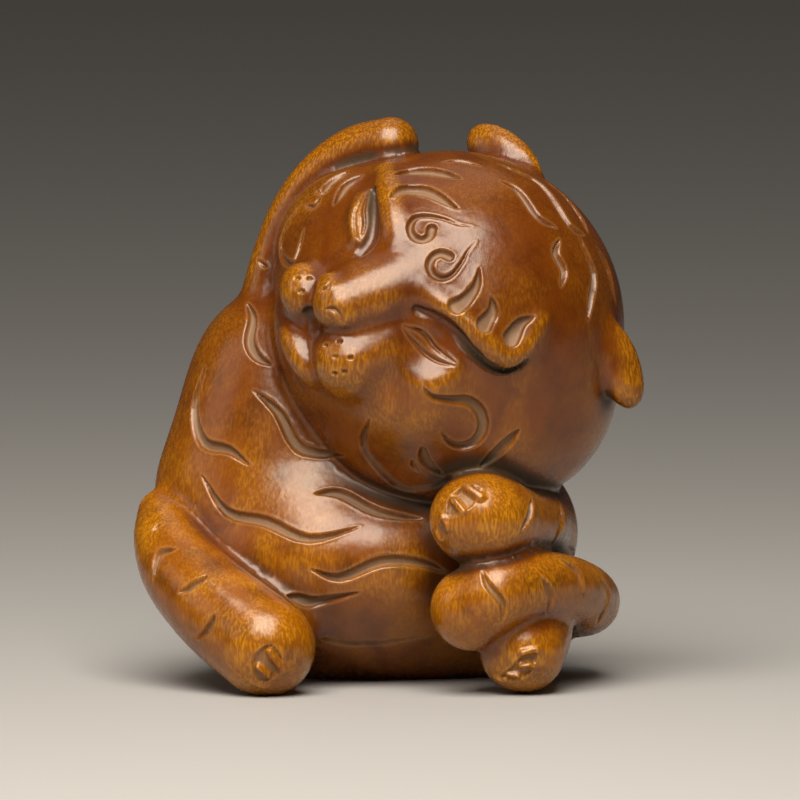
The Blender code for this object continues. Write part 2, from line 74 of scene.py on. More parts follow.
class Lump:
    """A rounded lump of wood: an ellipsoid with its own directions."""

    def __init__(self, middle, radii, axes=None, blend=2.0):
        self.middle = np.array(middle, float)
        self.radii = np.array(radii, float)
        self.axes = np.array(axes if axes else np.eye(3), float)
        self.blend = blend
        self.reach = self.radii.max()

    def distance(self, points):
        local = (points - self.middle) @ self.axes.T / self.radii
        near = np.sqrt((local**2).sum(1))
        slope = np.sqrt(((local / self.radii) ** 2).sum(1))
        return near * (near - 1) / np.maximum(slope, 1e-9)

    def balls(self):
        turn = Matrix(self.axes.T.tolist()).to_4x4()
        return [Matrix.Translation(self.middle) @ turn @ Matrix.Diagonal((*self.radii, 1))]


def torso():
    return [
        Lump((-3.5, 3.0, 12.6), (17.0, 14.5, 10.4)),
        Lump((-6.6, 4.6, 19.0), (17.0, 12.0, 15.2), blend=4),
        Lump((-8.4, 4.4, 29.6), (11.9, 9.6, 11.6), blend=4),
        Lump((9.2, 3.0, 15.6), (9.6, 11.0, 8.8), blend=4),
        Lump((0.4, 8.6, 5.6), (17.8, 10.0, 6.2), blend=3),
        Limb([((-12.0, 0.0, 10.6), 6.0), ((-15.4, -3.8, 8.3), 4.7), ((-11.6, -8.4, 5.5), 4.0)], 3),
    ]


# The limbs and the tail. They are cut from the same block and lie close on the body: one foreleg
# reaches up behind the head, the other is the head's pillow, and the tail wraps round from behind.


def smooth_path(stations, steps):
    """A smooth curve through a few stations, with steps points for each stretch between two."""
    p = [np.array(station, float) for station in stations]
    p = [2 * p[0] - p[1], *p, 2 * p[-1] - p[-2]]
    path = []
    for before, a, b, after in zip(p, p[1:], p[2:], p[3:]):
        turn = 2 * before - 5 * a + 4 * b - after
        swing = 3 * a - before - 3 * b + after
        for t in np.arange(steps) / steps:
            path.append(a + 0.5 * t * ((b - before) + t * (turn + t * swing)))
    return np.array([*path, p[-2]])


def to_stretches(points, path):
    """Each point's distance to every stretch of a path, and how far along the stretch it lies."""
    spans = np.diff(path, axis=0)
    lengths = np.maximum((spans**2).sum(1), 1e-12)
    offset = points[:, None] - path[:-1]
    along = ((offset * spans).sum(2) / lengths).clip(0, 1)
    apart = offset - along[..., None] * spans
    return np.sqrt((apart**2).sum(2)), along


class Limb:
    """A limb or a ridge: a round bar that swells and thins along a smooth curve."""

    def __init__(self, stations, blend=2.0, steps=4):
        """Each station is a place and the bar's radius there."""
        path = smooth_path([(*place, radius) for place, radius in stations], steps)
        self.path = path[:, :3]
        self.radii = path[:, 3]
        self.blend = blend
        self.middle = (self.path.min(0) + self.path.max(0)) / 2
        self.reach = np.linalg.norm(self.path - self.middle, axis=1).max() + self.radii.max()

    def distance(self, points):
        apart, along = to_stretches(points, self.path)
        return (apart - self.radii[:-1] - along * np.diff(self.radii)).min(1)

    def balls(self):
        return [Matrix.Translation(p) @ Matrix.Scale(r, 4) for p, r in zip(self.path, self.radii)]


def in_front_of(masses, x, z, proud):
    """The place drawn at (x, z) on the masses, moved towards the viewer by proud."""
    y = -60.0
    for step in range(60):
        y += joined(np.array([[x, y, z]]), masses)[0]
    return (x, y - proud, z)


def far_arm():
    return [
        Limb(
            [
                ((-12.3, 3.0, 38.5), 2.8),
                ((-11.2, 3.2, 43.1), 2.6),
                ((-9.5, 3.4, 47.4), 2.6),
                ((-6.8, 3.0, 51.0), 2.7),
                ((-3.4, 2.2, 53.4), 2.8),
                ((0.1, 1.0, 54.3), 2.8),
            ]
        )
    ]


def near_arm():
    return [
        Limb(
            [
                ((13.5, 4.0, 16.0), 4.3),
                ((14.2, -4.0, 16.4), 3.8),
                ((13.0, -9.5, 16.4), 3.6),
                ((11.0, -13.0, 16.8), 4.2),
            ]
        ),
        Lump((9.0, -15.0, 17.0), (5.1, 4.7, 4.7), blend=1.0),
    ]


def tail():
    return [
        Limb(
            [
                ((-5.0, 13.5, 12.0), 3.2),
                ((0.5, 16.6, 8.8), 3.2),
                ((7.5, 16.4, 7.6), 3.0),
                ((14.0, 12.0, 8.0), 2.9),
                ((18.8, 7.0, 8.0), 3.0),
                ((19.9, 0.0, 8.8), 3.1),
                ((18.0, -7.5, 10.0), 3.2),
                ((14.4, -13.0, 10.4), 3.5),
                ((10.6, -15.4, 9.5), 3.9),
                ((8.2, -14.8, 8.1), 4.2),
            ]
        )
    ]


def near_foot():
    return [Limb([((14.0, -3.0, 8.8), 4.2), ((13.9, -8.5, 6.0), 4.3), ((13.2, -12.4, 4.0), 4.3)])]


def far_leg():
    return [
        Limb(
            [
                ((-22.6, 1.4, 17.3), 2.7),
                ((-22.0, -2.2, 14.6), 3.6),
                ((-20.3, -5.8, 11.4), 4.3),
                ((-16.7, -10.0, 7.7), 4.8),
                ((-12.4, -13.6, 4.3), 5.0),
            ]
        )
    ]


BODY = [torso(), far_leg(), near_foot(), tail(), near_arm(), far_arm()]


# The head. A big round skull, tilted so that one cheek lies on the paw, with a short muzzle, shut
# eyes under heavy brows and two thin ears. The mouth and the eye sockets are scooped out of it.


HEAD_MIDDLE = Vector((5.7, -2.7, 36.85))
FACE = Vector((-0.45, -0.86, 0.25)).normalized()
CROWN = Vector((0.79, -0.25, 0.56))
CROWN = (CROWN - FACE * CROWN.dot(FACE)).normalized()
NEAR = CROWN.cross(FACE)
HEAD_AXES = [NEAR, FACE, CROWN]

# Where the flat of the nose looks
NOSE_TOP = Vector((-0.10, -0.80, 0.60)).normalized()


def head(across, ahead, up):
    """A place on the head: across to its near cheek, ahead to its nose and up to its crown."""
    return HEAD_MIDDLE + NEAR * across + FACE * ahead + CROWN * up


def head_lump(across, ahead, up, radii, blend):
    return Lump(head(across, ahead, up), radii, HEAD_AXES, blend)


SKULL = [
    Lump((5.9, -2.7, 36.2), (17.5, 16.6, 17.5)),
    Lump((12.2, -3.4, 28.6), (9.3, 9.3, 9.3), blend=4),
    Lump((-2.6, -2.4, 43.2), (8.9, 8.2, 8.9), blend=2),
    head_lump(0.0, 11.2, -6.4, (7.4, 5.6, 6.2), 4),
    Lump((2.6, -12.6, 29.2), (6.4, 6.4, 5.6), blend=3),
    Lump((2.8, -7.0, 26.2), (8.0, 6.4, 6.5), blend=3),
    Lump((8.0, -9.0, 26.3), (8.0, 6.5, 6.4), blend=3),
]


def on_head(x, z, proud):
    return in_front_of(SKULL, x, z, proud)


def ridge(stations, proud, blend):
    """A ridge laid along the head. Each station is its x, z and radius."""
    return Limb([(on_head(x, z, proud), radius) for x, z, radius in stations], blend)


def muzzle():
    along = Vector((0.9, 0.18, 0.40))
    along = (along - NOSE_TOP * along.dot(NOSE_TOP)).normalized()
    return [
        Limb(
            [
                (on_head(-4.7, 38.4, 0.4), 2.3),
                (on_head(-0.6, 39.6, -1.4), 3.0),
                (on_head(3.6, 41.6, -3.6), 3.4),
            ],
            2.0,
        ),
        Lump(on_head(-1.8, 39.6, -0.6), (6.0, 3.5, 2.4), [along, NOSE_TOP.cross(along), NOSE_TOP], 1.6),
        ridge([(-6.0, 40.2, 1.2), (-5.2, 38.5, 1.6), (-4.3, 37.1, 1.2)], 1.4, 0.8),
        Limb(
            [
                (on_head(-3.8, 32.6, -1.0), 3.7),
                (on_head(0.2, 34.0, -2.8), 3.9),
                (on_head(4.0, 31.8, -3.1), 3.7),
            ],
            1.2,
        ),
        Lump(on_head(-8.2, 39.4, -1.0), (3.3, 2.5, 2.7), HEAD_AXES, 0.9),
        Lump(on_head(-8.6, 33.3, -1.1), (3.9, 2.3, 1.7), HEAD_AXES, 0.6),
    ]


def brows_and_lids():
    return [
        ridge(
            [
                (3.2, 39.6, 1.4),
                (6.7, 36.8, 1.8),
                (9.3, 34.5, 2.0),
                (11.2, 33.2, 1.9),
                (13.1, 34.2, 1.6),
                (14.6, 36.6, 1.1),
            ],
            -0.9,
            0.9,
        ),
        ridge([(1.2, 36.0, 0.7), (3.0, 35.7, 1.1), (4.8, 34.3, 1.1), (7.2, 32.5, 0.7)], -1.4, 0.6),
        ridge([(-0.3, 51.4, 0.9), (0.1, 49.0, 1.5), (0.6, 46.4, 1.5), (0.8, 44.0, 0.9)], -1.0, 1.6),
        ridge([(-2.6, 48.6, 0.8), (-2.9, 46.8, 1.1), (-2.9, 44.8, 0.8)], -0.6, 1.2),
    ]


def far_ear():
    """A thin flap that leans out from the crown and faces forward."""
    outward = -NEAR * 0.95 - CROWN * 0.3
    axes = [outward, FACE, FACE.cross(outward)]
    return [Lump(head(-12.4, -3.0, 12.2), (5.3, 1.4, 2.7), axes, blend=1.0)]


def near_ear():
    """A flap shaped like a leaf, which hangs beside the head with its tip down."""
    down = Vector((0.40, 0.10, -0.91)).normalized()
    front = Vector((0.20, -0.96, 0.0))
    front = (front - down * front.dot(down)).normalized()
    axes = [down.cross(front), front, down]
    return [
        Lump((22.4, -8.8, 32.9), (2.3, 1.5, 4.6), axes, blend=1.0),
        Lump((23.3, -8.9, 30.4), (1.7, 1.2, 2.6), axes, blend=0.8),
    ]


HEAD = [*SKULL, *muzzle(), *brows_and_lids(), *far_ear(), *near_ear()]


HEAD_HOLLOWS = [
    Lump(on_head(3.9, 34.2, 3.6), (4.1, 4.1, 4.1), blend=1.5),
    ridge(
        [
            (2.6, 37.8, 0.2),
            (4.6, 36.9, 0.4),
            (6.5, 35.5, 0.5),
            (8.4, 33.6, 0.5),
            (10.6, 32.0, 0.45),
            (12.8, 32.4, 0.35),
            (14.4, 34.4, 0.2),
        ],
        0.0,
        0.7,
    ),
    ridge([(-1.5, 49.4, 0.2), (-1.5, 47.4, 0.35), (-1.8, 45.0, 0.35), (-2.9, 43.2, 0.2)], 0.1, 0.9),
    ridge([(-7.9, 37.2, 0.8), (-7.6, 35.6, 0.9)], 0.4, 0.5),
]


def scooped(points, depth, hollows):
    """The same distance once the hollows are scooped out."""
    for hollow in hollows:
        close = np.linalg.norm(points - hollow.middle, axis=1) < hollow.reach + 4
        inside = hollow.distance(points[close])
        depth[close] = -smooth_min(-depth[close], inside, hollow.blend)
    return depth


# The whole form before any stripe is cut. It is one piece of boxwood, and the limbs and the head meet
# the body in a tight crease, SEAM steps wide.


SEAM = 0.9


def form(points):
    """How far each point is outside the uncut figure."""
    depth = scooped(points, joined(points, HEAD), HEAD_HOLLOWS)
    for masses in BODY:
        depth = smooth_min(depth, joined(points, masses), SEAM)
    return depth


# The stripes, curls, lids and toes. They are cut with a gouge into the finished form, each a channel
# with steep walls that runs out to a point. They are drawn as (x, z) on the front of the block. A toe
# is a bead left standing in a sunk bed.


CUT_DEPTH = 0.55
WALL = 0.35


class Cut:
    """One stroke of the gouge. Its width runs from a point at the start to the given taper."""

    def __init__(self, stations, width, taper="leaf", side="front", depth=CUT_DEPTH, wall=WALL):
        self.plan = smooth_path(stations, 4)
        self.width = width
        self.taper = taper
        self.side = side
        self.depth = depth
        self.wall = wall
        self.path = None

    def lay_on(self, tree):
        """Drops the drawn line on the figure's skin. Past the outline it follows the edge."""
        along_x = Vector((1, 0, 0))
        along_y = Vector((0, 1, 0))
        across, into = {
            "front": (along_x, along_y),
            "back": (along_x, -along_y),
            "left": (along_y, along_x),
            "right": (along_y, -along_x),
        }[self.side]
        hits = []
        for u, z in self.plan:
            start = across * u + Vector((0, 0, z)) - into * 100
            hit = tree.ray_cast(start, into)[0] or tree.find_nearest(start + into * 95)[0]
            hits.append(hit)
        self.path = np.array(hits)

    def half_width(self, share):
        swell = {"leaf": np.sin(pi * share), "drop": share, "line": 1.0}[self.taper]
        return 0.5 * self.width * np.maximum(swell, 0) ** 0.6

    def near(self, points, margin):
        low = self.path.min(0) - self.width - margin
        high = self.path.max(0) + self.width + margin
        return np.flatnonzero(((points > low) & (points < high)).all(1))

    def bite(self, points):
        """How deep the stroke is at each point, and how far outside its edge each point lies."""
        apart, along = to_stretches(points, self.path)
        nearest = apart.argmin(1)
        rows = np.arange(len(points))
        share = (nearest + along[rows, nearest]) / (len(self.path) - 1)
        outside = apart[rows, nearest] - self.half_width(share)
        wall = (-outside / self.wall).clip(0, 1)
        return self.depth * wall * wall * (3 - 2 * wall), outside


def curl(tail_points, middle, start, turn, radius=1.6, closes_to=0.5, steps=7):
    """A line that ends in a curl: it turns about middle from the angle start, closing in."""
    stations = list(tail_points)
    for step in range(steps):
        share = step / (steps - 1)
        angle = radians(start + turn * share)
        reach = radius + (closes_to - radius) * share
        stations.append((middle[0] + reach * cos(angle), middle[1] + reach * sin(angle)))
    return stations


FLANK = [
    [(-14.3, 38.5), (-13.8, 37.0), (-14.1, 34.7), (-13.3, 33.1), (-11.7, 32.2)],
    [(-18.5, 32.2), (-19.6, 28.0), (-18.7, 24.6), (-16.1, 23.8), (-13.9, 22.2)],
    [(-13.7, 29.8), (-11.2, 27.6), (-9.4, 24.4), (-7.2, 23.5), (-4.4, 23.3)],
    [(-18.9, 21.4), (-16.4, 17.7), (-12.4, 16.7), (-8.1, 15.0), (-2.9, 16.2)],
    [(-7.7, 19.5), (-5.0, 19.5), (-1.3, 17.7), (3.4, 16.9)],
    [(-8.1, 12.0), (-5.0, 11.1), (-0.9, 12.7), (3.0, 12.6), (5.8, 11.6)],
    [(-10.3, 9.4), (-9.0, 9.0), (-7.4, 8.7), (-2.9, 9.7)],
    [(-6.9, 5.1), (-4.8, 4.6), (-1.0, 4.6), (3.8, 5.2)],
]


LEG_AND_ARM = [
    [(-18.1, 11.4), (-19.6, 10.4), (-21.1, 9.6)],
    [(-17.4, 7.6), (-18.0, 6.2), (-19.2, 5.0)],
    [(-21.3, 14.0), (-23.1, 13.4), (-23.6, 10.6)],
    [(14.1, 19.0), (13.9, 17.4), (12.8, 15.3)],
    [(16.7, 19.0), (17.2, 17.0), (15.9, 13.9)],
]


TAIL_RINGS = [
    [(9.1, 11.9), (9.8, 10.4), (11.2, 8.6), (11.1, 6.7)],
    [(15.1, 11.2), (16.0, 9.4), (15.6, 7.5)],
    [(16.9, 13.0), (18.8, 11.6), (19.3, 8.9)],
    [(20.9, 11.3), (21.8, 9.2), (20.6, 6.4)],
]


BROW_CURLS = [
    curl([(8.3, 46.0), (6.8, 46.2), (5.3, 46.8)], (3.2, 45.8), 75, 290, 1.35, 0.95),
    curl([(8.6, 44.6), (7.7, 43.5), (7.2, 42.5)], (5.2, 42.2), -45, -265, 1.4, 1.1),
]


BROW_DROPS = [
    [(8.9, 42.0), (8.6, 40.2), (7.6, 38.8), (6.6, 38.1)],
    [(10.1, 39.1), (10.2, 37.6), (9.4, 36.3)],
    [(14.4, 37.1), (13.0, 36.4), (12.0, 34.9)],
]


CROWN_LEAVES = [
    [(-0.1, 48.9), (1.4, 49.7), (4.0, 49.4), (6.9, 47.7)],
    [(0.3, 51.2), (2.6, 51.6), (5.0, 51.4), (7.1, 50.8)],
]


CROWN_CUTS = [
    [(11.0, 50.6), (12.8, 49.6), (14.7, 47.0), (16.6, 45.9)],
    [(10.9, 52.3), (15.1, 50.2), (17.9, 46.2), (19.4, 45.2)],
    [(15.6, 50.6), (17.6, 48.9), (19.0, 47.0), (19.7, 45.5)],
    [(16.9, 44.8), (16.5, 43.4), (17.3, 41.6), (17.0, 40.0)],
    [(18.8, 45.2), (20.3, 41.4), (20.0, 38.8), (19.7, 36.6)],
    [(20.6, 44.0), (21.7, 41.9), (22.5, 38.4)],
]


CHEEK_CUTS = [
    curl([(3.2, 30.2), (4.2, 29.1), (6.2, 28.8)], (7.0, 26.4), 70, -230, 2.4, 2.1),
    [(12.9, 25.9), (11.3, 24.2), (8.8, 22.0)],
    [(3.2, 24.2), (3.6, 22.6), (5.3, 21.2)],
    [(-2.0, 27.0), (-2.6, 24.0), (0.7, 20.3), (3.7, 20.1), (7.0, 21.5)],
    [(-2.8, 51.2), (-4.3, 50.2), (-5.6, 48.2)],
    [(-4.2, 51.6), (-5.7, 50.7), (-7.1, 49.3)],
]


TUFTS = [
    [(-8.9, 48.2), (-10.1, 46.6), (-10.9, 44.6), (-10.7, 42.9), (-9.8, 42.4), (-9.1, 43.8), (-8.6, 45.8)],
    [(-8.4, 48.2), (-7.6, 48.1), (-6.9, 49.0)],
    [(-7.4, 49.6), (-6.6, 49.5), (-5.9, 50.2)],
]


LIDS = [
    [(1.3, 36.2), (3.2, 35.5), (4.6, 33.9), (6.7, 32.3)],
    [(1.3, 35.9), (2.9, 34.0), (4.6, 32.7), (6.7, 32.1)],
    [(-2.1, 49.4), (-2.6, 47.9), (-2.5, 46.4), (-2.9, 44.6)],
    [(-2.5, 49.3), (-3.5, 47.5), (-3.5, 45.7), (-2.9, 44.5)],
]


BEDS = [
    ([(9.2, 19.7), (7.9, 19.5), (6.6, 18.5), (5.7, 17.2)], 2.7),
    ([(5.6, 17.0), (5.2, 15.9), (5.2, 14.9)], 1.4),
    ([(-11.8, 4.6), (-12.2, 2.6), (-12.8, 0.8)], 3.2),
    ([(14.4, 4.1), (13.8, 2.9), (12.6, 1.7), (10.9, 1.2)], 2.0),
]


BEADS = [
    ([(7.6, 20.2), (8.5, 19.6), (9.0, 19.2)], 1.4),
    ([(6.3, 18.9), (6.9, 18.2), (7.2, 17.8)], 1.35),
    ([(5.2, 17.3), (5.6, 16.4), (5.8, 16.0)], 1.0),
    ([(4.7, 15.6), (5.0, 15.0)], 0.8),
    ([(-11.9, 3.9), (-11.6, 3.3), (-10.6, 2.0)], 1.2),
    ([(-13.1, 2.3), (-12.6, 1.9), (-12.1, 1.5)], 1.1),
    ([(-13.6, 0.8), (-12.9, 0.5), (-12.2, 0.4)], 0.9),
    ([(13.1, 3.7), (14.0, 3.9), (14.6, 4.0)], 1.1),
    ([(13.0, 2.4), (13.7, 2.5), (14.2, 2.4)], 1.0),
    ([(11.7, 1.6), (12.3, 1.5), (12.8, 1.4)], 0.9),
    ([(10.5, 1.3), (11.0, 1.1), (11.4, 1.0)], 0.8),
]


def back_cuts():
    """Stripes that leave the spine in pairs, and shorter ones down the back of the head."""
    cuts = []
    for row in range(5):
        z = 33 - 6.4 * row
        reach = 6.5 + 1.2 * row
        for side in (1, -1):
            x = -7 + 0.6 * row
            line = [(x + side * s * reach, z - d) for s, d in ((0.12, 0), (0.5, 0.4), (1, 2.6))]
            cuts.append(Cut(line, 1.3, side="back"))
    for row in range(4):
        z = 49 - 4.2 * row
        for side in (1, -1):
            x = 9.5 + 0.9 * row
            line = [(x + side * 1.0, z), (x + side * 3.4, z + 0.3), (x + side * 6, z - 1.6)]
            cuts.append(Cut(line, 1.1, side="back"))
    return cuts


def all_cuts():
    cuts = [Cut(line, 1.3) for line in FLANK + CHEEK_CUTS]
    cuts += [Cut(line, 1.0) for line in LEG_AND_ARM + TAIL_RINGS + CROWN_CUTS]
    cuts += [Cut(line, 1.15, "drop", depth=0.45) for line in BROW_CURLS]
    cuts += [Cut(line, 1.9, "drop") for line in BROW_DROPS]
    cuts += [Cut(line, 1.6) for line in CROWN_LEAVES]
    cuts += [Cut(line, 0.6, depth=0.4) for line in LIDS]
    cuts += [Cut(line, 0.8, depth=0.4) for line in TUFTS]
    cuts += [Cut(line, width, depth=0.4) for line, width in BEDS]
    return cuts + back_cuts()


def all_beads():
    return [Cut(line, width, "line", depth=0.5, wall=0.5) for line, width in BEADS]


# The marks of the point and the scraper, too fine for the gouge: whisker pits in the pads, nostrils,
# and short hair strokes on the crown, the cheek, both arms and the far leg.
WHISKER_PITS = [
    [(-6.4, 34.2), (-5.0, 34.6), (-5.4, 33.1), (-3.9, 33.0), (-4.5, 31.6), (-5.5, 31.4)],
    [(-9.2, 40.9), (-8.0, 40.9), (-8.8, 39.6)],
]
NOSTRILS = [
    [(-6.6, 37.8), (-5.4, 37.7), (-4.5, 36.3)],
    [(-7.0, 39.6), (-6.3, 39.9), (-5.9, 40.6)],
]
HAIR_STROKES = [
    [(5.3, 52.5), (7.0, 52.6), (9.0, 52.1)],
    [(2.2, 22.9), (2.3, 22.2), (2.9, 21.6)],
    [(17.8, 14.3), (18.3, 13.8), (18.5, 13.2)],
    [(-22.9, 16.5), (-23.3, 16.1), (-23.7, 15.7)],
    [(-13.3, 42.9), (-12.7, 42.3), (-12.2, 42.1)],
]


def fine_marks():
    marks = [
        Cut([(x - 0.1, z), (x + 0.1, z)], 0.5, "line", depth=0.35, wall=0.2)
        for pits in WHISKER_PITS
        for x, z in pits
    ]
    marks += [Cut(line, 0.7, depth=0.4) for line in NOSTRILS]
    marks += [Cut(line, 0.6, depth=0.3, wall=0.3) for line in HAIR_STROKES]
    return marks


# The skin. The roughed-out block is fitted to the form, its faces are made finer along the cuts and
# in the creases, and the cuts are sunk in, with a low raised rim along each.
GRAIN = 0.67
OVERSIZE = 1.04
STRAY = 0.4
CUT_MARGIN = 0.6
RIM_OUT = 0.1
RIM_WIDTH = 0.12
RIM_HEIGHT = 0.03


def with_modifier(mesh, kind, **settings):
    """The mesh that one modifier makes of another."""
    thing = bpy.data.objects.new("draft", mesh)
    bpy.context.scene.collection.objects.link(thing)
    modifier = thing.modifiers.new(kind, kind)
    for name, value in settings.items():
        setattr(modifier, name, value)
    depsgraph = bpy.context.evaluated_depsgraph_get()
    made = bpy.data.meshes.new_from_object(thing.evaluated_get(depsgraph))
    bpy.data.objects.remove(thing)
    bpy.data.meshes.remove(mesh)
    return made


def roughed_out():
    """The block roughed out a little oversize: every mass as balls, fused into one skin."""
    bm = bmesh.new()
    for mass in HEAD + [mass for masses in BODY for mass in masses]:
        for place in mass.balls():
            bmesh.ops.create_icosphere(bm, subdivisions=3, radius=OVERSIZE, matrix=place)
    rough = bpy.data.meshes.new("rough")
    bm.to_mesh(rough)
    bm.free()
    rough = with_modifier(rough, "REMESH", mode="VOXEL", voxel_size=GRAIN)
    rough = with_modifier(rough, "TRIANGULATE")
    fill_pockets(rough)
    return rough


def fill_pockets(mesh):
    """Fills the pockets shut in between the balls: only the skin around the outside is kept."""
    bm = bmesh.new()
    bm.from_mesh(mesh)
    outermost = max(bm.verts, key=lambda vertex: vertex.co.x)
    outside, front = {outermost}, [outermost]
    while front:
        vertex = front.pop()
        for edge in vertex.link_edges:
            other = edge.other_vert(vertex)
            if other not in outside:
                outside.add(other)
                front.append(other)
    inside = [vertex for vertex in bm.verts if vertex not in outside]
    bmesh.ops.delete(bm, geom=inside, context="VERTS")
    bm.to_mesh(mesh)
    bm.free()


def rows_of(items, name, width=3, kind=float):
    flat = np.empty(len(items) * width, kind)
    items.foreach_get(name, flat)
    return flat.reshape(-1, width)


def put_points(mesh, points):
    mesh.vertices.foreach_set("co", points.ravel())
    mesh.update()


def fit_to_form(mesh, rounds, evening=0.0):
    """Moves the skin onto the form along its normals, evening out its faces on the way.

    In the last two rounds a point that is still far from the form goes between its neighbours.
    """
    ends = rows_of(mesh.edges, "vertices", 2, int)
    count = np.bincount(ends.ravel(), minlength=len(mesh.vertices))[:, None]
    for turn in range(rounds):
        points = rows_of(mesh.vertices, "co")
        total = np.zeros_like(points)
        for one, other in (ends.T, ends.T[::-1]):
            for axis in range(3):
                total[:, axis] += np.bincount(one, points[other, axis], len(points))
        if turn < rounds - 2:
            points += evening * (total / count - points)
            put_points(mesh, points)
        depth = form(points)
        points -= rows_of(mesh.vertices, "normal") * depth[:, None].clip(-1, 1)
        if turn >= rounds - 2:
            stray = np.abs(depth) > STRAY
            points[stray] = (total / count)[stray]
        put_points(mesh, points)


def beside(points, cuts, margin):
    """Which points lie on a cut or less than margin outside its edge."""
    close = np.zeros(len(points), bool)
    for cut in cuts:
        rows = cut.near(points, margin)
        close[rows[cut.bite(points[rows])[1] < margin]] = True
    return close


def in_creases(mesh, reach, share):
    """Which points lie in a crease, where another part of the form stands close in front."""
    points = rows_of(mesh.vertices, "co")
    clear = form(points + rows_of(mesh.vertices, "normal") * reach)
    return clear < share * reach


def halve(mesh, close):
    """Halves the edges that reach a marked point, so the skin is finer there."""
    bm = bmesh.new()
    bm.from_mesh(mesh)
    edges = [e for e in bm.edges if close[e.verts[0].index] or close[e.verts[1].index]]
    bmesh.ops.subdivide_edges(bm, edges=edges, cuts=1, use_grid_fill=True)
    bmesh.ops.triangulate(bm, faces=[f for f in bm.faces if len(f.verts) > 3])
    bm.to_mesh(mesh)
    bm.free()


def carve(mesh, cuts, beads):
    """Sinks the cuts, leaving the beads, and returns each point's depth and how near a rim it is."""
    points = rows_of(mesh.vertices, "co")
    sunk = np.zeros(len(points))
    rim = np.zeros(len(points))
    for cut in cuts:
        rows = cut.near(points, CUT_MARGIN)
        bite, outside = cut.bite(points[rows])
        sunk[rows] = np.maximum(sunk[rows], bite)
        rim[rows] = np.maximum(rim[rows], np.exp(-(((outside - RIM_OUT) / RIM_WIDTH) ** 2)))
    for bead in beads:
        rows = bead.near(points, 0)
        rise = bead.bite(points[rows])[0]
        sunk[rows] -= (sunk[rows] / bead.depth + 0.6) * rise
    rim *= sunk < 0.12
    sunk -= RIM_HEIGHT * rim
    put_points(mesh, points - rows_of(mesh.vertices, "normal") * sunk[:, None])
    return sunk, rim


skin = roughed_out()
fit_to_form(skin, rounds=6, evening=0.5)
tree = BVHTree.FromPolygons(
    [vertex.co for vertex in skin.vertices], [face.vertices[:] for face in skin.polygons]
)
cuts, beads = all_cuts() + fine_marks(), all_beads()
for cut in cuts + beads:
    cut.lay_on(tree)
for margin in (0.7, 0.25):
    near_cuts = beside(rows_of(skin.vertices, "co"), cuts + beads, margin)
    halve(skin, near_cuts | in_creases(skin, 0.8, 0.6))
    fit_to_form(skin, rounds=2)

# How the figure has aged and where shade is painted, point by point: how shut in each place is, where
# dirt gathers and shade is painted, and how far it swells out, where hands have worn it golden
points = rows_of(skin.vertices, "co")
normals = rows_of(skin.vertices, "normal")
shut_in = np.zeros(len(points))
for reach in (0.8, 1.8, 4.0):
    shut_in += (1 - form(points + normals * reach) / reach).clip(0, 1) / 3
swell = np.zeros(len(points))
NOT_ALONG = (0.3, 0.5, 0.8)
SWELL_REACH = 2.0
side = np.cross(normals, NOT_ALONG)
side /= np.linalg.norm(side, axis=1)[:, None]
for way in (side, -side, np.cross(normals, side), np.cross(side, normals)):
    swell += form(points + way * SWELL_REACH) / 4
sunk, rim = carve(skin, cuts, beads)


def keep_on_skin(name, values):
    layer = skin.attributes.new(name, "FLOAT", "POINT")
    layer.data.foreach_set("value", np.asarray(values, float))


keep_on_skin("sunk", sunk / CUT_DEPTH)
keep_on_skin("rim", rim)
keep_on_skin("shut_in", shut_in)
keep_on_skin("swell", swell)


# The figure is turned upright, cut flat where it rests, and set in the place of the plain carving.
# GROUND is how far up the drawing the flat is cut, under the rump and the far foot.
LEAN = radians(5.0)
GROUND = 0.7


def turned_upright(mesh):
    """Leans the drawing upright, cuts the base flat and returns the turn, the scale and the shift."""
    bm = bmesh.new()
    bm.from_mesh(mesh)
    turn = Matrix.Rotation(-LEAN, 3, "X")
    bmesh.ops.rotate(bm, verts=bm.verts, matrix=turn)
    whole = bm.verts[:] + bm.edges[:] + bm.faces[:]
    cut = bmesh.ops.bisect_plane(
        bm, geom=whole, dist=0.02, plane_co=(0, 0, GROUND), plane_no=(0, 0, 1), clear_inner=True
    )
    rim = [edge for edge in cut["geom_cut"] if isinstance(edge, bmesh.types.BMEdge)]
    for edge in rim:
        edge.smooth = False
        for vertex in edge.verts:
            vertex.co.z = GROUND
    base = bmesh.ops.contextual_create(bm, geom=rim)["faces"]
    bmesh.ops.triangulate(bm, faces=base)
    places = np.array([vertex.co for vertex in bm.verts])
    low, high = places.min(0), places.max(0)
    box_low, box_high = np.array(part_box("tiger"))
    scale = (box_high - box_low) / (high - low)
    shift = box_low - low * scale
    bmesh.ops.scale(bm, verts=bm.verts, vec=scale)
    bmesh.ops.translate(bm, verts=bm.verts, vec=shift)
    for face in bm.faces:
        face.smooth = True
    bm.to_mesh(mesh)
    bm.free()
    return turn, scale, shift


turn, scale, shift = turned_upright(skin)
skin.name = "tiger_carving"
tiger = bpy.data.objects.new("tiger_carving", skin)
bpy.context.scene.collection.objects.link(tiger)
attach(tiger, "root")
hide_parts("tiger")


# The boxwood. Close-grained yellow wood, stained deep amber and waxed. Handling has rubbed it back to
# gold on the high places, and old wax and dirt have dulled the creases and the floors of the cuts. The
# creases are also darkened with painted shade, and a painted highlight is laid along the rim of each cut.
DEEP_AMBER = (0.072, 0.0125, 0.0002, 1)
AMBER = (0.20, 0.048, 0.0004, 1)
GOLD = (0.50, 0.20, 0.004, 1)
# Dark olive brown for the dirt in the creases and for the shade painted there
DIRT_AND_SHADE = (0.045, 0.028, 0.010, 1)
OLD_WAX = (0.20, 0.115, 0.055, 1)
# The light colour of the painted highlight along the rim of each cut
PAINTED_RIM_HIGHLIGHT = (0.50, 0.27, 0.10, 1)


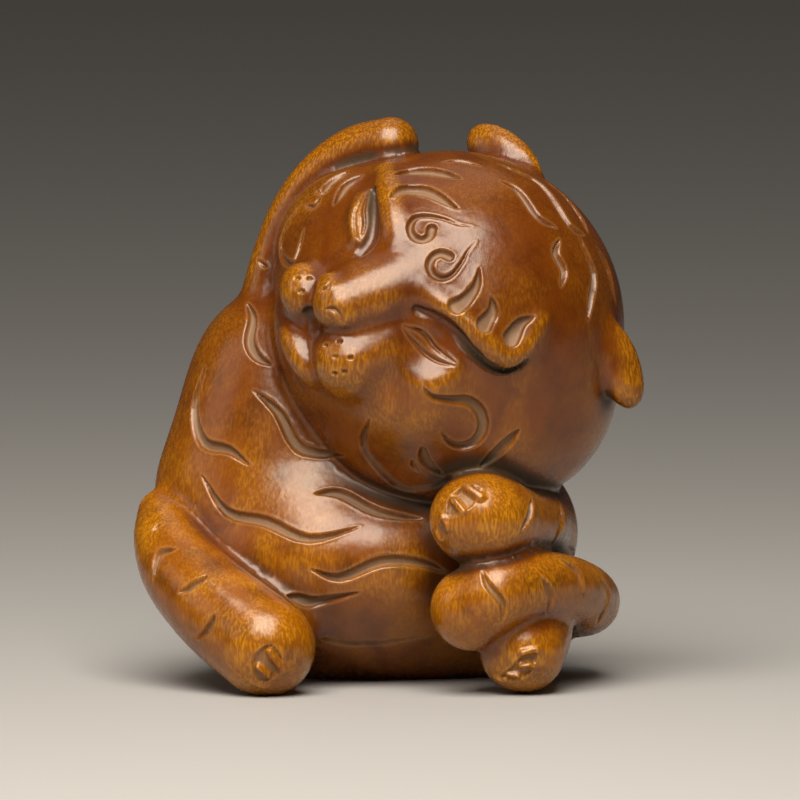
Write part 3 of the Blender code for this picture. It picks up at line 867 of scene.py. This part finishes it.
class Recipe:
    """The nodes of one material, added and linked in a line each."""

    def __init__(self, name):
        self.material = bpy.data.materials.new(name)
        self.material.use_nodes = True
        self.nodes = self.material.node_tree.nodes
        self.links = self.material.node_tree.links
        self.shader = self.nodes["Principled BSDF"]
        self.place = self.nodes.new("ShaderNodeTexCoord").outputs["Object"]

    def plug(self, value, socket):
        if isinstance(value, bpy.types.NodeSocket):
            self.links.new(value, socket)
        else:
            socket.default_value = value

    def aged(self, name):
        node = self.nodes.new("ShaderNodeAttribute")
        node.attribute_name = name
        return node.outputs["Fac"]

    def up(self):
        """How high up the figure a place is, in metres."""
        node = self.nodes.new("ShaderNodeSeparateXYZ")
        self.links.new(self.place, node.inputs[0])
        return node.outputs["Z"]

    def figure(self, per_mm, detail=3.0, roughness=0.55, twist=0.0):
        """A soft random figure, as many waves to the millimetre across, deep and up as given."""
        stretch = self.nodes.new("ShaderNodeVectorMath")
        stretch.operation = "MULTIPLY"
        self.links.new(self.place, stretch.inputs[0])
        stretch.inputs[1].default_value = [1000 * count for count in per_mm]
        noise = self.nodes.new("ShaderNodeTexNoise")
        self.links.new(stretch.outputs[0], noise.inputs["Vector"])
        noise.inputs["Scale"].default_value = 1.0
        noise.inputs["Detail"].default_value = detail
        noise.inputs["Roughness"].default_value = roughness
        noise.inputs["Distortion"].default_value = twist
        return noise.outputs["Fac"]

    def between(self, value, low, high):
        """0 below low and 1 above high, with a soft step from one to the other."""
        node = self.nodes.new("ShaderNodeMapRange")
        node.interpolation_type = "SMOOTHSTEP"
        self.links.new(value, node.inputs["Value"])
        node.inputs["From Min"].default_value = low
        node.inputs["From Max"].default_value = high
        return node.outputs["Result"]

    def reckon(self, kind, one, other):
        node = self.nodes.new("ShaderNodeMath")
        node.operation = kind
        self.plug(one, node.inputs[0])
        self.plug(other, node.inputs[1])
        return node.outputs[0]

    def plus(self, one, other):
        return self.reckon("ADD", one, other)

    def times(self, one, other):
        return self.reckon("MULTIPLY", one, other)

    def larger(self, one, other):
        return self.reckon("MAXIMUM", one, other)

    def stain(self, under, over, share):
        node = self.nodes.new("ShaderNodeMix")
        node.data_type = "RGBA"
        self.plug(share, node.inputs["Factor"])
        self.plug(under, node.inputs["A"])
        self.plug(over, node.inputs["B"])
        return node.outputs["Result"]


def boxwood():
    wood = Recipe("boxwood")
    cut_floor = wood.between(wood.aged("sunk"), 0.25, 0.95)
    # How shut in a place is: dirt and painted shade both go there
    crease = wood.between(wood.aged("shut_in"), 0.28, 0.80)
    proud = wood.between(wood.aged("swell"), 0.05, 0.42)
    cloud = wood.between(wood.figure((0.16, 0.16, 0.12), twist=0.6), 0.35, 0.68)
    fibre = wood.between(wood.figure((4.5, 4.5, 0.9), detail=3), 0.44, 0.62)
    # The colour runs lighter and more golden towards the base and darker towards the top
    lower = wood.between(wood.up(), 0.045, 0.012)
    gold = wood.times(cloud, wood.plus(wood.times(lower, 0.3), 0.1))
    gold = wood.plus(gold, wood.times(proud, 0.36))
    gold = wood.times(gold, wood.plus(wood.times(fibre, 0.9), 0.4))
    amber_tone_out_of_shade = wood.between(wood.figure((0.3, 0.3, 0.3)), 0.2, 0.6)
    amber_tone_out_of_shade = wood.times(amber_tone_out_of_shade, wood.plus(wood.times(lower, 0.7), 0.3))
    # Painted shade: in shut-in places the amber and the gold are held back, leaving the darkest stain
    outside_painted_shade = wood.between(wood.aged("shut_in"), 0.60, 0.08)
    amber_tone_out_of_shade = wood.times(amber_tone_out_of_shade, outside_painted_shade)
    gold = wood.times(gold, outside_painted_shade)
    colour = wood.stain(DEEP_AMBER, AMBER, amber_tone_out_of_shade)
    colour = wood.stain(colour, GOLD, gold)
    colour = wood.stain(colour, OLD_WAX, wood.times(cut_floor, 0.75))
    # Dirt and painted shade: the creases and shut-in places are darkened towards a dark olive brown
    colour = wood.stain(colour, DIRT_AND_SHADE, wood.times(crease, 0.85))
    # A painted highlight: the rim along each cut is lightened as if it caught the light
    colour = wood.stain(colour, PAINTED_RIM_HIGHLIGHT, wood.times(wood.aged("rim"), 0.15))
    wood.links.new(colour, wood.shader.inputs["Base Color"])
    dull = wood.larger(cut_floor, crease)
    rough = wood.plus(wood.times(dull, 0.32), 0.16)
    rough = wood.plus(rough, wood.times(wood.figure((1.5, 1.5, 0.8)), 0.2))
    wood.links.new(rough, wood.shader.inputs["Roughness"])
    height = wood.figure((0.55, 0.55, 0.45), detail=2)
    height = wood.plus(height, wood.times(wood.figure((5, 5, 1.2)), 0.12))
    bump = wood.nodes.new("ShaderNodeBump")
    bump.inputs["Strength"].default_value = 0.5
    bump.inputs["Distance"].default_value = 0.00012
    wood.links.new(height, bump.inputs["Height"])
    wood.links.new(bump.outputs["Normal"], wood.shader.inputs["Normal"])
    wood.shader.inputs["Specular IOR Level"].default_value = 0.6
    wood.shader.inputs["Specular Tint"].default_value = (1.0, 0.94, 0.86, 1)
    return wood.material


skin.materials.clear()
skin.materials.append(boxwood())


# The pale table top that the figure stands on, and the light: one wide soft lamp overhead and in
# front, a weak one on the left, and one far behind that lights the table.
def table_top():
    mesh = bpy.data.meshes.new("table_top")
    reach = 4.0
    corners = [(-reach, -reach, 0), (reach, -reach, 0), (reach, reach, 0), (-reach, reach, 0)]
    mesh.from_pydata(corners, [], [(0, 1, 2, 3)])
    floor = bpy.data.objects.new("table_top", mesh)
    bpy.context.scene.collection.objects.link(floor)
    paper = bpy.data.materials.new("pale_paper")
    paper.use_nodes = True
    shader = paper.node_tree.nodes["Principled BSDF"]
    shader.inputs["Base Color"].default_value = (0.38, 0.37, 0.355, 1)
    shader.inputs["Roughness"].default_value = 0.7
    mesh.materials.append(paper)


def drawn_at(x, y, z):
    """Where a place on the drawing lies in the room, in metres."""
    return Vector(np.array(turn @ Vector((x, y, z))) * scale + shift)


def away(azimuth, elevation, distance):
    """A place in the room, seen from the figure's middle by its angles in degrees."""
    a, e = radians(azimuth), radians(elevation)
    way = Vector((sin(a) * cos(e), -cos(a) * cos(e), sin(e)))
    return middle + way * distance


def facing_figure(thing, place):
    bpy.context.scene.collection.objects.link(thing)
    thing.location = place
    thing.rotation_mode = "QUATERNION"
    thing.rotation_quaternion = (middle - place).to_track_quat("-Z", "Y")


def soft_lamp(name, place, size, watts):
    light = bpy.data.lights.new(name, "AREA")
    light.size = size
    light.energy = watts
    light.color = (1.0, 0.93, 0.84)
    facing_figure(bpy.data.objects.new(name, light), place)


middle = drawn_at(1.0, 0, 28.8)
table_top()
soft_lamp("lamp_above", away(-8, 55, 0.38), 0.32, 3.3)
soft_lamp("lamp_left", away(-80, 25, 0.6), 0.3, 0.3)
soft_lamp("lamp_behind", away(180, 65, 1.3), 0.9, 1.5)
room = bpy.data.worlds.new("room")
bpy.context.scene.world = room
room.use_nodes = True
room.node_tree.nodes["Background"].inputs["Color"].default_value = (1.0, 0.95, 0.88, 1)
room.node_tree.nodes["Background"].inputs["Strength"].default_value = 0.035
bpy.context.scene.view_settings.view_transform = "Standard"

# The camera stands low in front, a little above the figure's middle, and takes in VIEW_WIDTH steps
CAMERA_AWAY = 2.4
VIEW_WIDTH = 80
camera = bpy.data.objects.new("camera", bpy.data.cameras.new("camera"))
camera.data.sensor_width = 36
camera.data.lens = camera.data.sensor_width * CAMERA_AWAY / (VIEW_WIDTH * scale[0])
facing_figure(camera, away(0, 5, CAMERA_AWAY))
bpy.context.scene.camera = camera
